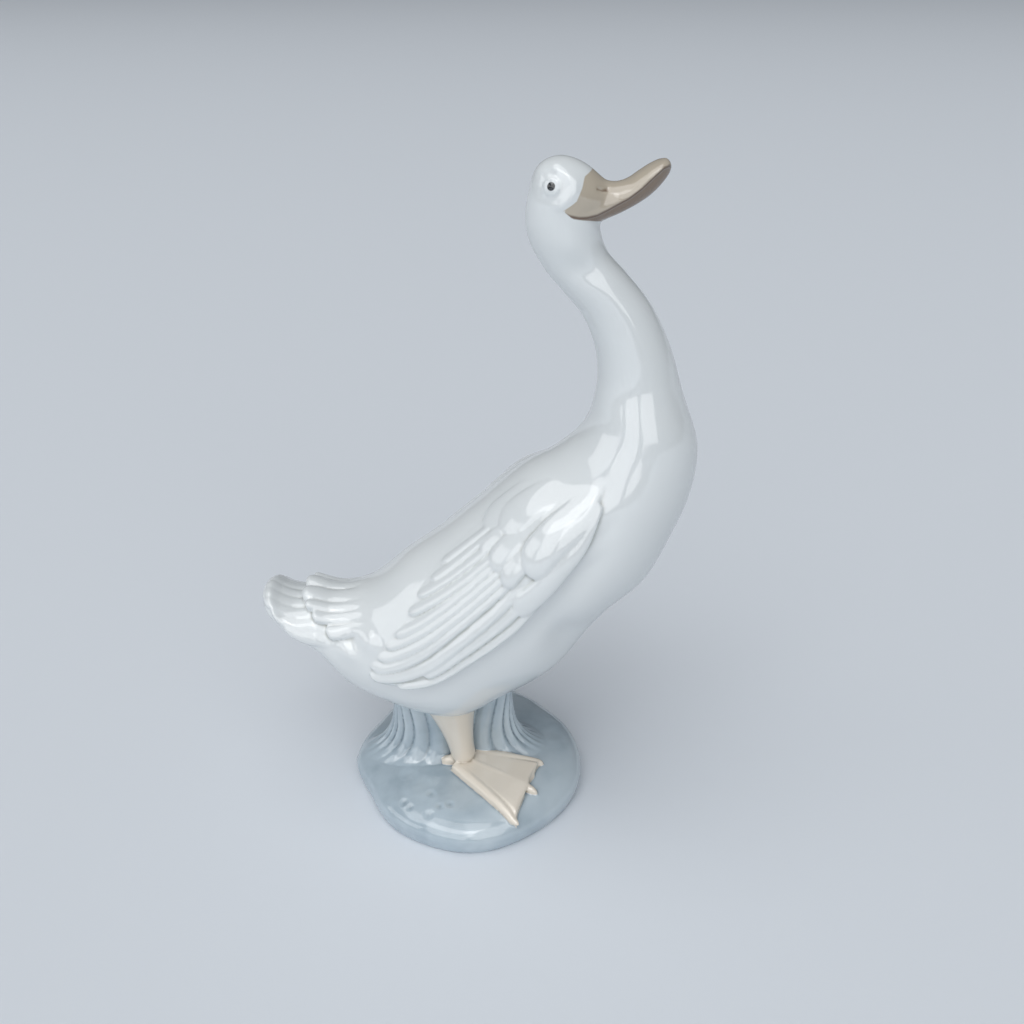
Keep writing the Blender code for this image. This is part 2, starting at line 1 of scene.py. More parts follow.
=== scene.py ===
"""A goose of glazed porcelain on a blue-grey grass base, slip-cast in one piece.

Lengths are in metres and angles in degrees. The bill points toward +X and the side
that the camera sees toward -Y.
"""

import math

import bmesh
import bpy
import numpy as np
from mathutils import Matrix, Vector, noise
from mathutils.bvhtree import BVHTree


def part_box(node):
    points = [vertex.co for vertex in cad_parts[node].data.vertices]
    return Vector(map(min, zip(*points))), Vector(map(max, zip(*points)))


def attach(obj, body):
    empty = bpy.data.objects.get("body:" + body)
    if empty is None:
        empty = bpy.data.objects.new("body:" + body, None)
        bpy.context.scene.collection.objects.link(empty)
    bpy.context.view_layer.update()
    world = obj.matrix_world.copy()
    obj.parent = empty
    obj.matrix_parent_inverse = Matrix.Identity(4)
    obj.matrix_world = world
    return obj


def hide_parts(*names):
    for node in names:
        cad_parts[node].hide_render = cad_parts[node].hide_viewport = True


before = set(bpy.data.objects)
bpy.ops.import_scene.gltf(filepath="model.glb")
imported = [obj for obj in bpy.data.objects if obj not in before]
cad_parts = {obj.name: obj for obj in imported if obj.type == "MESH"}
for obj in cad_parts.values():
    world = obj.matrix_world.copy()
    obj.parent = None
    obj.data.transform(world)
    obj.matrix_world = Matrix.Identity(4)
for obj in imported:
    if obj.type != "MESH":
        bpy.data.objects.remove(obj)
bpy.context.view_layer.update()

# Body, neck and head
# The figure is one slip-cast form, a full body that runs up into a slender neck. Its
# skin follows a spine bent in the plane y = 0, from the tail's tip to the bill's root:
# a place on it is a distance along the spine and an angle, 0 on the back and 180 below.
BASE_TOP = 0.0095
TAIL_DEPTH = 0.0090
TAIL_WIDTH = 0.0136
BODY_DEPTH = 0.0290
BODY_WIDTH = 0.0262
NECK_RADIUS = 0.0088
HEAD_DEPTH = 0.0105
HEAD_WIDTH = 0.0088

# X and height above the base of each section's centre, its heading, half depth and width
SPINE = (
    (-0.0612, 0.0595, 22, 0.20 * TAIL_DEPTH, 0.30 * TAIL_WIDTH),
    (-0.0598, 0.0588, 22, 0.46 * TAIL_DEPTH, 0.55 * TAIL_WIDTH),
    (-0.0568, 0.0577, 21, 0.78 * TAIL_DEPTH, 0.78 * TAIL_WIDTH),
    (-0.0531, 0.0550, 20, 0.83 * TAIL_DEPTH, 0.89 * TAIL_WIDTH),
    (-0.0486, 0.0528, 17, 0.89 * TAIL_DEPTH, 1.00 * TAIL_WIDTH),
    (-0.0440, 0.0510, 12, 1.22 * TAIL_DEPTH, 1.08 * TAIL_WIDTH),
    (-0.0376, 0.0470, 9, 0.52 * BODY_DEPTH, 0.64 * BODY_WIDTH),
    (-0.0267, 0.0451, 11, 0.69 * BODY_DEPTH, 0.80 * BODY_WIDTH),
    (-0.0087, 0.0480, 17, 0.99 * BODY_DEPTH, 0.96 * BODY_WIDTH),
    (0.0027, 0.0552, 21, 1.00 * BODY_DEPTH, 1.00 * BODY_WIDTH),
    (0.0142, 0.0636, 26, 1.01 * BODY_DEPTH, 1.00 * BODY_WIDTH),
    (0.0318, 0.0827, 31, 0.88 * BODY_DEPTH, 0.97 * BODY_WIDTH),
    (0.0404, 0.0895, 36, 0.83 * BODY_DEPTH, 0.91 * BODY_WIDTH),
    (0.0477, 0.1001, 42, 0.72 * BODY_DEPTH, 0.82 * BODY_WIDTH),
    (0.0519, 0.1111, 54, 0.64 * BODY_DEPTH, 0.69 * BODY_WIDTH),
    (0.0528, 0.1197, 62, 0.58 * BODY_DEPTH, 0.60 * BODY_WIDTH),
    (0.0505, 0.1304, 74, 1.44 * NECK_RADIUS, 1.38 * NECK_RADIUS),
    (0.0473, 0.1420, 86, 1.20 * NECK_RADIUS, 1.14 * NECK_RADIUS),
    (0.0424, 0.1518, 98, 1.06 * NECK_RADIUS, 1.01 * NECK_RADIUS),
    (0.0364, 0.1590, 104, 1.00 * NECK_RADIUS, 0.96 * NECK_RADIUS),
    (0.0313, 0.1649, 104, 0.98 * NECK_RADIUS, 0.95 * NECK_RADIUS),
    (0.0281, 0.1727, 88, 0.94 * HEAD_DEPTH, 0.95 * HEAD_WIDTH),
    (0.0282, 0.1768, 67, 0.99 * HEAD_DEPTH, 1.00 * HEAD_WIDTH),
    (0.0293, 0.1816, 47, 1.00 * HEAD_DEPTH, 1.00 * HEAD_WIDTH),
    (0.0327, 0.1830, 36, 0.92 * HEAD_DEPTH, 0.90 * HEAD_WIDTH),
    (0.0350, 0.1823, 25, 0.78 * HEAD_DEPTH, 0.80 * HEAD_WIDTH),
    (0.0375, 0.1808, 13, 0.58 * HEAD_DEPTH, 0.66 * HEAD_WIDTH),
    (0.0400, 0.1802, 8, 0.30 * HEAD_DEPTH, 0.45 * HEAD_WIDTH),
)

# The tail is flatter below: the share that it loses there, and where the body's full
# depth begins and ends
TAIL_FLAT = 0.62
FLAT_END, FLAT_START = 0.0130, 0.0250

# Soft swells and hollows of the flesh on both sides: where each lies along the spine
# and round it, how far it reaches each way, and its rise
SWELLS = (
    (0.0560, 118, 0.0130, 24, 0.0009),
    (0.0390, 58, 0.0030, 9, 0.0012),
    (0.0330, 58, 0.0022, 8, -0.0009),
    (0.0310, 72, 0.0030, 9, 0.0008),
    (0.0965, 124, 0.0070, 22, -0.0028),
    (0.1080, 118, 0.0090, 16, 0.0008),
    (0.0975, 97, 0.0120, 7, -0.0009),
    (0.1130, 91, 0.0090, 7, -0.0009),
    (0.1230, 80, 0.0060, 7, -0.0008),
    (0.1310, 60, 0.0050, 10, -0.0006),
    (0.2035, 96, 0.0045, 28, -0.0009),
    (0.2115, 94, 0.0048, 30, 0.0009),
)
SWELL_CUT = 3


def smooth_curve(rows, knots):
    """A function that reads the rows at any knot value, by a smooth cubic."""
    rows = np.array(rows, float)
    slopes = np.gradient(rows, knots, axis=0)

    def read(at):
        at = min(max(at, knots[0]), knots[-1])
        i = min(int(np.searchsorted(knots, at, side="right")) - 1, len(rows) - 2)
        step = knots[i + 1] - knots[i]
        t = (at - knots[i]) / step
        return (
            (2 * t**3 - 3 * t**2 + 1) * rows[i]
            + (t**3 - 2 * t**2 + t) * step * slopes[i]
            + (3 * t**2 - 2 * t**3) * rows[i + 1]
            + (t**3 - t**2) * step * slopes[i + 1]
        )

    return read


spine_steps = np.hypot(*np.diff(np.array(SPINE)[:, :2], axis=0).T)
spine_knots = np.concatenate([[0], np.cumsum(spine_steps)])
spine_at = smooth_curve(SPINE, spine_knots)


def skin(s, angle, lift=0.0):
    """The place on the goose's skin at a distance along its spine and an angle round it."""
    x, height, heading, depth, width = spine_at(s)
    for place, turn, along, around, rise in SWELLS:
        off = (abs(angle) - turn) / around
        if abs(off) < SWELL_CUT and abs(s - place) < SWELL_CUT * along:
            lift += rise * math.exp(-(((s - place) / along) ** 2) - off**2)
    heading, angle = math.radians(heading), math.radians(angle)
    if math.cos(angle) < 0:
        t = min(max((s - FLAT_END) / (FLAT_START - FLAT_END), 0), 1)
        depth *= 1 - TAIL_FLAT * (1 - t * t * (3 - 2 * t))
    up = (depth + lift) * math.cos(angle)
    out = -(width + lift) * math.sin(angle)
    x, z = x - up * math.sin(heading), height + up * math.cos(heading)
    return Vector((x, out, BASE_TOP + z))


def skin_radius(s, angle):
    """How far the skin moves for each radian round the spine."""
    depth, width = spine_at(s)[3:]
    angle = math.radians(angle)
    return math.hypot(depth * math.sin(angle), width * math.cos(angle))


def rolled(clay, along, around, place):
    """A grid rolled up into a closed form: place(u, v) is its point at a share u of its
    length and a share v of the way round."""
    verts = bmesh.ops.create_grid(clay, x_segments=along, y_segments=around, size=0.5)["verts"]
    for vert in verts:
        vert.co = place(vert.co.x + 0.5, vert.co.y + 0.5)
    bmesh.ops.remove_doubles(clay, verts=verts, dist=1e-6)
    left = [vert for vert in verts if vert.is_valid]
    rims = {edge for vert in left for edge in vert.link_edges if edge.is_boundary}
    bmesh.ops.holes_fill(clay, edges=list(rims), sides=0)


white_clay = bmesh.new()
spine_length = spine_knots[-1]
rolled(white_clay, 300, 144, lambda u, v: skin(spine_length * u, 360 * v - 180))

# Bill
# The bill is part of the same casting, painted beige: an upper half that overhangs a
# slimmer lower half, so that the mouth is a groove along each side.
BILL_HALF_WIDTH = 0.0056
BILL_OVERHANG = 0.0006
BILL_THINNEST = 0.0003
LIP = 0.0006

# X, the heights above the base of the ridge, the mouth and the underside, and the
# share of the half width
BILL = (
    (0.0272, 0.1795, 0.1783, 0.1772, 1.40),
    (0.0290, 0.1812, 0.1776, 0.1762, 1.52),
    (0.0315, 0.1842, 0.1770, 0.1752, 1.47),
    (0.0335, 0.1862, 0.1769, 0.1749, 1.37),
    (0.0360, 0.1866, 0.1773, 0.1748, 1.22),
    (0.0385, 0.1849, 0.1783, 0.1751, 1.08),
    (0.0410, 0.1845, 0.1796, 0.1760, 1.00),
    (0.0440, 0.1853, 0.1812, 0.1775, 0.98),
    (0.0470, 0.1873, 0.1835, 0.1792, 0.98),
    (0.0500, 0.1891, 0.1863, 0.1813, 0.92),
    (0.0525, 0.1900, 0.1883, 0.1838, 0.74),
    (0.0540, 0.1898, 0.1886, 0.1858, 0.48),
    (0.0547, 0.1888, 0.1880, 0.1870, 0.22),
)
bill_knots = [row[0] for row in BILL]
bill_at = smooth_curve(BILL, bill_knots)


def bill_half(u, v, lower):
    """A place round the bill's upper or lower half, from its root to its tip."""
    x, ridge, mouth, underside, share = bill_at(
        bill_knots[0] + (bill_knots[-1] - bill_knots[0]) * u
    )
    half = max(BILL_HALF_WIDTH * share - (BILL_OVERHANG if lower else 0), BILL_THINNEST)
    turn = math.tau * v
    above = math.sin(turn) > 0
    reach = LIP
    if above != lower:
        reach = max(mouth - underside if lower else ridge - mouth, BILL_THINNEST)
    z = BASE_TOP + mouth + reach * math.sin(turn)
    return Vector((x, half * math.cos(turn), z))


bill_clay = bmesh.new()
for lower in (False, True):
    rolled(bill_clay, 90, 64, lambda u, v: bill_half(u, v, lower))

# Wings
# Each folded wing is carved on the body: a pad with a bold rounded edge, eleven long
# feathers that lap one over another like shingles, and coverts with round ends that
# melt into the pad over the feathers' roots.
BURIED = 0.0016
SUNK = 0.0004
PAD_TOP_SHARE = 0.75
PAD_SUNK = 0.0002

# How fast the pad rises from its upper edge, and the share of its width over which its
# lower edge rounds off, which grows along the shoulder
PAD_SLOPE, PAD_START = 1.15, 0.1
EDGE_SHARE, SHOULDER_SHARE = 0.12, 0.25
SHOULDER_START, SHOULDER_LENGTH = 0.1000, 0.0200

# Distance along the spine, angles of the upper and lower edges, and rise of the pad
WING = (
    (0.0380, 84, 94, 0.0009),
    (0.0450, 70, 94, 0.0015),
    (0.0550, 48, 91, 0.0019),
    (0.0660, 30, 89, 0.0021),
    (0.0800, 22, 89, 0.0022),
    (0.0970, 22, 88, 0.0024),
    (0.1080, 26, 87, 0.0026),
    (0.1180, 34, 77, 0.0024),
    (0.1260, 44, 67, 0.0015),
    (0.1310, 52, 60, 0.0004),
    (0.1345, 56, 58, 0.0000),
)

# Each long feather: its root and tip along the spine and round it, how far round it
# bows between them, and its half widths at the root and the tip
PRIMARIES = (
    (0.0965, 28.5, 0.0708, 28.0, 0.0, 0.0012, 0.0015),
    (0.0965, 33.0, 0.0655, 34.5, 0.5, 0.0013, 0.0016),
    (0.0970, 39.0, 0.0595, 39.5, 1.5, 0.0016, 0.0018),
    (0.0979, 45.5, 0.0548, 47.0, 1.5, 0.0015, 0.0018),
    (0.0979, 50.5, 0.0485, 57.0, 0.0, 0.0012, 0.0018),
    (0.0979, 55.0, 0.0445, 63.5, -0.5, 0.0012, 0.0015),
    (0.0984, 59.5, 0.0410, 71.5, -2.0, 0.0012, 0.0017),
    (0.0993, 64.0, 0.0378, 80.0, -3.5, 0.0014, 0.0019),
    (0.0993, 70.0, 0.0370, 88.0, -2.5, 0.0017, 0.0018),
    (0.0993, 77.5, 0.0545, 85.0, -1.0, 0.0019, 0.0014),
    (0.0993, 84.5, 0.0452, 91.5, -1.0, 0.0014, 0.0010),
)
TOP_CROWN, BOTTOM_CROWN = 0.0005, 0.0010
FEATHER_TILT = 0.6
ROOT_WIDTH = 0.8
TIP_CROWDING = 1.5

# Each covert: its root and tip along the spine and round it, its bow, half width and
# how far it stands off the pad
COVERTS = (
    (0.1150, 21, 0.0903, 25, 0, 0.0052, 0.0007),
    (0.1042, 37, 0.0868, 38, 0, 0.0026, 0.0009),
    (0.1066, 47, 0.0884, 51, 0, 0.0040, 0.0014),
    (0.1054, 60, 0.0900, 63, 0, 0.0032, 0.0016),
    (0.1265, 62, 0.0897, 78, 9, 0.0034, 0.0014),
    (0.1218, 34, 0.0955, 35, 0, 0.0060, 0.0012),
    (0.1276, 56, 0.0984, 67, 0, 0.0056, 0.0021),
)
wing_knots = [row[0] for row in WING]
wing_at = smooth_curve(WING, wing_knots)


def smooth(share):
    """An easy start and end for a share that goes from 0 to 1."""
    share = min(max(share, 0), 1)
    return share * share * (3 - 2 * share)


def wing_lift(s, angle):
    """How far the wing's pad stands off the body, which grows from its upper edge down."""
    _, upper, lower, rise = wing_at(s)
    return rise * smooth(PAD_SLOPE * (angle - upper) / (lower - upper) + PAD_START)


def wing_pad(u, v, side):
    """A place round the pad's section: over its top, and back inside the body."""
    s = wing_knots[0] + (wing_knots[-1] - wing_knots[0]) * u
    upper, lower = wing_at(s)[1:3]
    across = min(v / PAD_TOP_SHARE, (1 - v) / (1 - PAD_TOP_SHARE))
    angle = upper + (lower - upper) * across
    if v < PAD_TOP_SHARE:
        edge = EDGE_SHARE + SHOULDER_SHARE * smooth((s - SHOULDER_START) / SHOULDER_LENGTH)
        lift = wing_lift(s, angle) * math.sqrt(1 - max((across - 1 + edge) / edge, 0) ** 2)
    else:
        lift = -BURIED * math.sin(math.pi * across) - PAD_SUNK
    return skin(s, side * angle, lift)


def bare(s, angle):
    """What a feather that lies straight on the skin stands on."""
    return 0


def feather(
    clay, side, root, tip, widths, crown, under=bare, bow=0, curl=0, grown=4, point=1.5, tilt=0
):
    """A feather domed across, that grows out of what is under it and ends round.

    Its ends are places along the spine and round it. It stands crown above what is under
    it, with grown and point for how soon it rises and how long its round end is.
    """
    run = Vector((tip[0] - root[0], math.radians(tip[1] - root[1])))
    mean_radius = skin_radius((root[0] + tip[0]) / 2, (root[1] + tip[1]) / 2)
    length = math.hypot(run.x, run.y * mean_radius)
    tip_share = min(point * widths[1] / length, 0.9)

    def place(u, v):
        u = 1 - (1 - u) ** TIP_CROWDING
        s = root[0] + (tip[0] - root[0]) * u
        angle = root[1] + (tip[1] - root[1]) * u + bow * math.sin(math.pi * u)
        radius = skin_radius(s, angle)
        turning = math.radians(bow) * math.pi * math.cos(math.pi * u)
        ahead = Vector((run.x, (run.y + turning) * radius)).normalized()
        rounding = math.sqrt(1 - max((u - 1 + tip_share) / tip_share, 0) ** 2)
        half = (widths[0] + (widths[1] - widths[0]) * u) * rounding
        turn = math.tau * v
        over, up = half * math.cos(turn), math.sin(turn)
        s -= over * ahead.y
        angle += math.degrees(over * ahead.x / radius)
        if up > 0:
            slope = 1 - tilt * math.cos(turn)
            top = (crown * slope + curl * u**3) * rounding**0.5 * smooth(grown * u)
            lift = under(s, angle) + (top + SUNK) * up**0.5 - SUNK
        else:
            lift = -BURIED * (1 - 0.6 * up)
        return skin(s, side * angle, lift)

    rolled(clay, 60, 32, place)


for side in (1, -1):
    rolled(white_clay, 120, 96, lambda u, v: wing_pad(u, v, side))
    for k, (start, start_angle, end, end_angle, bow, *widths) in enumerate(PRIMARIES):
        crown = TOP_CROWN + (BOTTOM_CROWN - TOP_CROWN) * (k / (len(PRIMARIES) - 1)) ** 0.7
        ends = (start, start_angle), (end, end_angle)
        feather(
            white_clay, side, *ends, widths, crown, wing_lift, bow, point=2, tilt=FEATHER_TILT
        )
    for start, start_angle, end, end_angle, bow, width, crown in COVERTS:
        ends = (start, start_angle), (end, end_angle)
        widths = (ROOT_WIDTH * width, width)
        feather(white_clay, side, *ends, widths, crown, wing_lift, bow, grown=1.4, point=1.1)

# Tail
# The tail is carved on the same casting: a cupped fan of nine feathers, with a second
# layer over its root whose feathers curl up off it at their tips.
TAIL_FEATHERS = 9
TAIL_SPREAD = 84
TAIL_FEATHER_WIDTH = 0.0026
TAIL_CROWN = 0.0010
FAN_TIP, FAN_ROUNDING = 0.0002, 0.0085
FAN_ROOT, FAN_ROOT_SPREAD = 0.0260, 0.8
UPPER_ROOT, UPPER_ROOT_SPREAD = 0.0400, 0.75

# Each feather of the upper layer: its angle, its tip's place, half width and curl
TAIL_COVERTS = (
    (12, 0.0165, 0.0032, 0.0040),
    (29, 0.0178, 0.0018, 0.0032),
    (42, 0.0198, 0.0020, 0.0020),
    (56, 0.0245, 0.0021, 0.0012),
)

for k in range(TAIL_FEATHERS):
    spread = 2 * k / (TAIL_FEATHERS - 1) - 1
    tip = (FAN_TIP + FAN_ROUNDING * spread**2, TAIL_SPREAD * spread)
    root = (FAN_ROOT, FAN_ROOT_SPREAD * TAIL_SPREAD * spread)
    widths = (ROOT_WIDTH * TAIL_FEATHER_WIDTH, TAIL_FEATHER_WIDTH)
    feather(white_clay, 1, root, tip, widths, TAIL_CROWN, grown=2, point=0.8)
for side in (1, -1):
    for angle, tip_place, width, curl in TAIL_COVERTS:
        root, tip = (UPPER_ROOT, UPPER_ROOT_SPREAD * angle), (tip_place, angle)
        widths = (width, width)
        feather(
            white_clay, side, root, tip, widths, TAIL_CROWN, curl=curl, grown=1.3, point=0.8
        )

# Base
# The base is a low round mound of the same casting, with a soft rounded rim and a
# wandering outline. Its underside is ground flat round a shallow recess with a vent.
BASE_RADIUS = 0.0375
BASE_MOUND = 0.0012
SIDE_HEIGHT = 0.0045
RIM_SHARP = 8
RIM_TUCK = 0.0022
FOOT_RIM_WIDTH = 0.0065
FOOT_RECESS = 0.0012
VENT_RADIUS = 0.0018
VENT_DEPTH = 0.0045
GROUND_OFF = 0.0004

# Swells and dips of the outline: bearing, share of the radius, spread
OUTLINE = (
    (-152, -0.060, 17),
    (-84, 0.052, 24),
    (-22, 0.024, 26),
    (43, -0.034, 24),
    (98, 0.020, 22),
    (152, -0.030, 18),
    (-180, 0.012, 12),
)


def base_radius(bearing):
    """The base's radius toward a bearing, with its swells and dips."""
    share = 1
    for centre, swell, spread in OUTLINE:
        off = (bearing - centre + 180) % 360 - 180
        share += swell * math.exp(-((off / spread) ** 2))
    return BASE_RADIUS * share


def base_top(x, y):
    """The height of the base's top, which rounds down toward its rim."""
    share = math.hypot(x, y) / base_radius(math.degrees(math.atan2(y, x)))
    return SIDE_HEIGHT + rim_rise(share)


def rim_rise(share):
    """How far the top stands above the side's widest place, at a share of the radius."""
    return (BASE_TOP + BASE_MOUND - SIDE_HEIGHT) * math.sqrt(max(1 - share**RIM_SHARP, 0))


def on_base(place, lift=0.0):
    """A place in plan, put on the base's top or a little off it."""
    return Vector((place[0], place[1], base_top(*place) + lift))


# The turned section, from the vent's end outward and over the rim to the middle of the
# top: a share of the outline's radius, what is added to it, and a height
base_section = [
    (0, 0, FOOT_RECESS + VENT_DEPTH),
    (0, VENT_RADIUS, FOOT_RECESS + VENT_DEPTH),
    (0, VENT_RADIUS, FOOT_RECESS),
    (0, BASE_RADIUS - FOOT_RIM_WIDTH, FOOT_RECESS),
    (0, BASE_RADIUS - FOOT_RIM_WIDTH + FOOT_RECESS, -GROUND_OFF),
]
for degrees in range(0, 90, 10):
    turn = math.radians(degrees)
    tuck = RIM_TUCK * (1 - math.sin(turn))
    low = SIDE_HEIGHT - (SIDE_HEIGHT + GROUND_OFF) * math.cos(turn)
    base_section.append((1, -tuck, low))
for degrees in range(0, 91, 3):
    share = math.cos(math.radians(degrees)) ** (2 / RIM_SHARP)
    base_section.append((share, 0, SIDE_HEIGHT + rim_rise(share)))


def base_point(u, v):
    """A place on the base: along its section, and round the outline."""
    share, more, z = base_section[round(u * (len(base_section) - 1))]
    bearing = 360 * v - 180
    radius, turn = share * base_radius(bearing) + more, math.radians(bearing)
    return Vector((radius * math.cos(turn), radius * math.sin(turn), z))


grass_clay = bmesh.new()
rolled(grass_clay, len(base_section) - 1, 144, base_point)

# Grass
# A waisted tuft of broad blades carries the body: soft ridges that lean out under the
# belly, bow in at the middle and melt into the base at the foot, clear of the legs.
TUFT_CENTRE = (-0.0047, 0.0010)
TUFT_HALF_LENGTH = 0.0196
TUFT_HALF_WIDTH = 0.0076
TUFT_FLARE = (0.0140, 0.0095)
TUFT_LEAN = 0.55
TUFT_SWEEP = 0.22
TUFT_INTO_BELLY = 0.0035
TUFT_INTO_BASE = 0.0005
TUFT_CURVE = 3.5
BLADE_COUNT = 24
BLADE_ROUNDNESS = 0.7
BLADE_WANDER = 0.7
GROOVE_DEPTH = 0.0021
GROOVE_START = 2.8
ROWS_CROWDING = 1.5

# The legs' bearings from the tuft's middle, where it hardly flares
LEG_BEARINGS = (-78, 126)
LEG_CLEARANCE = 24
FLARE_KEPT = 0.1

# The line of the belly, from the tail up to the breast
BELLY_STEPS = 200
under_belly = [skin(spine_length * k / BELLY_STEPS, 180) for k in range(150)]
belly_x = [place.x for place in under_belly]
belly_z = [place.z for place in under_belly]


def tuft_point(u, v):
    """A place on the tuft's side, from its foot (u 0) up into the belly (u 1)."""
    turn = math.tau * v
    wave = BLADE_COUNT * turn / 2 + BLADE_WANDER * math.sin(3 * turn + 1)
    groove = 1 - abs(math.sin(wave)) ** BLADE_ROUNDNESS
    out = -GROOVE_DEPTH * groove * smooth(GROOVE_START * u)
    spread = (1 - u) ** TUFT_CURVE
    for bearing in LEG_BEARINGS:
        off = (math.degrees(turn) - bearing + 180) % 360 - 180
        spread *= 1 - (1 - FLARE_KEPT) * math.exp(-((off / LEG_CLEARANCE) ** 2))
    turn -= math.sin(2 * turn) * (TUFT_LEAN * u * u + TUFT_SWEEP * (1 - u) ** 3)
    x = TUFT_CENTRE[0] + (TUFT_HALF_LENGTH + TUFT_FLARE[0] * spread + out) * math.cos(turn)
    y = TUFT_CENTRE[1] + (TUFT_HALF_WIDTH + TUFT_FLARE[1] * spread + out) * math.sin(turn)
    foot = base_top(x, y) - TUFT_INTO_BASE
    top = np.interp(x, belly_x, belly_z) + TUFT_INTO_BELLY
    return Vector((x, y, foot + (top - foot) * u**ROWS_CROWDING))


rolled(grass_clay, 60, 24 * BLADE_COUNT, tuft_point)


STEM_STEP = 0.01


def stem(clay, path, radius, along=24, around=16):
    """A round stem whose middle follows path(t), square to it, with radius(t)."""

    def place(u, v):
        ahead = path(min(u + STEM_STEP, 1)) - path(max(u - STEM_STEP, 0))
        first = ahead.cross(Vector((0, 1, 0.01))).normalized()
        second = ahead.cross(first).normalized()
        turn = math.tau * v
        return path(u) + radius(u) * (first * math.cos(turn) + second * math.sin(turn))

    rolled(clay, along, around, place)


# Legs and feet
# Two short legs stand in the grass, painted beige, and each ends round on a webbed foot
# that lies on the base: three toes with a web between them, scalloped at the front.
NEAR_THIGH, FAR_THIGH = 0.0090, 0.0048
THIGH_TAPER, THIGH_CURVE = 1.2, 1.6
LEG_RADIUS = 0.0041
LEG_TOP = 0.028
HIP_BACK = 0.0042
ANKLE_LIFT = 0.0008
ANKLE_START, ANKLE_ROUNDING = 0.88, 0.6
TOE_RADIUS = 0.0019
TOE_TAPER = 0.5
TOE_END = 0.9
TOE_RISE = 0.0002
TOE_DROOP = 0.0024
HEEL_RADIUS = 0.0018
HEEL_TAPER = 0.8
HEEL_LIFT, HEEL_DROP = 0.0014, 0.0006
WEB_THICKNESS = 0.0025
WEB_SAG = 0.0003
WEB_EDGE, WEB_UNDER = 4, 5
WEB_REACH = 0.96
WEB_NOTCH = 0.08
MIDDLE_TOE_CLEAR = 0.08

# In plan: the ankle, the heel, and each toe's root and tip, from the outer toe inward
NEAR_FOOT = (
    (-0.0008, -0.0084),
    (-0.0082, -0.0092),
    ((-0.0038, -0.0118), (0.0168, -0.0354)),
    ((0.0004, -0.0100), (0.0228, -0.0232)),
    ((0.0028, -0.0062), (0.0250, -0.0102)),
)
FAR_FOOT = (
    (-0.0160, 0.0088),
    (-0.0232, 0.0096),
    ((-0.0174, 0.0122), (-0.0040, 0.0325)),
    ((-0.0146, 0.0108), (0.0040, 0.0240)),
    ((-0.0125, 0.0070), (0.0088, 0.0120)),
)


def on_foot(place, lift):
    """A place on the foot, which near the rim bends down only a little way."""
    height = max(base_top(*place), BASE_TOP + BASE_MOUND - TOE_DROOP)
    return Vector((place[0], place[1], height + lift))


def web(toes, u, v):
    """A place round the web's section, which grows from the toes' roots to their tips."""
    lobe = 2 * min(2 * v, 2 - 2 * v)
    k = min(int(lobe), 1)
    root, tip = (Vector(toes[k][i]).lerp(Vector(toes[k + 1][i]), lobe - k) for i in (0, 1))
    between = abs(math.sin(math.pi * lobe))
    at_middle = max(1 - abs(2 * lobe - 2), 0)
    reach = WEB_REACH - WEB_NOTCH * between - MIDDLE_TOE_CLEAR * at_middle
    place = root.lerp(tip, u * reach)
    up = math.sin(math.tau * v)
    if up > 0:
        sag = WEB_SAG * between * u
        return on_foot(place, WEB_THICKNESS * min(1, WEB_EDGE * up) ** 0.5 - sag)
    return on_base(place, -BURIED * min(1, -WEB_UNDER * up))


def leg_radius(t, thigh):
    """The leg's radius from the hip (t 0), past its taper, to the round ankle (t 1)."""
    radius = LEG_RADIUS + (thigh - LEG_RADIUS) * max(1 - THIGH_TAPER * t, 0) ** THIGH_CURVE
    ankle_share = max((t - ANKLE_START) / (1 - ANKLE_START), 0)
    return radius * (1 - ANKLE_ROUNDING * ankle_share**2)


def toe_middle(t, root, tip):
    """The middle of a toe, whose top stands just above the web."""
    lift = WEB_THICKNESS + TOE_RISE * (1 - TOE_TAPER * t**4) - TOE_RADIUS
    return on_foot(Vector(root).lerp(Vector(tip), t), lift)


def toe_radius(t):
    """A toe's radius, which tapers and then rounds off just short of nothing."""
    end_share = max((t - TOE_END) / (1.02 * (1 - TOE_END)), 0)
    return TOE_RADIUS * (1 - TOE_TAPER * t**4) * math.sqrt(1 - end_share**2)


def heel_middle(t, ankle, heel):
    """The middle of the short toe behind, which sinks toward its tip."""
    return on_base(Vector(ankle).lerp(Vector(heel), t), HEEL_LIFT - HEEL_DROP * t)


def heel_radius(t):
    """The radius of the toe behind, which tapers to a blunt tip."""
    return HEEL_RADIUS * math.sqrt(1 - HEEL_TAPER * t**3)


foot_clay = bmesh.new()
for thigh, (ankle, heel, *toes) in ((NEAR_THIGH, NEAR_FOOT), (FAR_THIGH, FAR_FOOT)):
    hip = Vector((ankle[0] - HIP_BACK, ankle[1], BASE_TOP + LEG_TOP))
    ground = on_base(ankle, ANKLE_LIFT)
    stem(
        foot_clay,
        lambda t: hip.lerp(ground, t),
        lambda t: leg_radius(t, thigh),
        along=60,
        around=32,
    )
    rolled(foot_clay, 60, 160, lambda u, v: web(toes, u, v))
    for root, tip in toes:
        stem(foot_clay, lambda t: toe_middle(t, root, tip), toe_radius, along=48)
    stem(foot_clay, lambda t: heel_middle(t, ankle, heel), heel_radius)

# Casting
# The carved forms become one skin, as the mould and the slip make them one, and the
# glaze rounds every edge. Fine marks are then pressed in along the surface's normals.
GRAIN = 0.00034
GLAZE_ROUNDS = 5
MOST_TRIANGLES = 196000

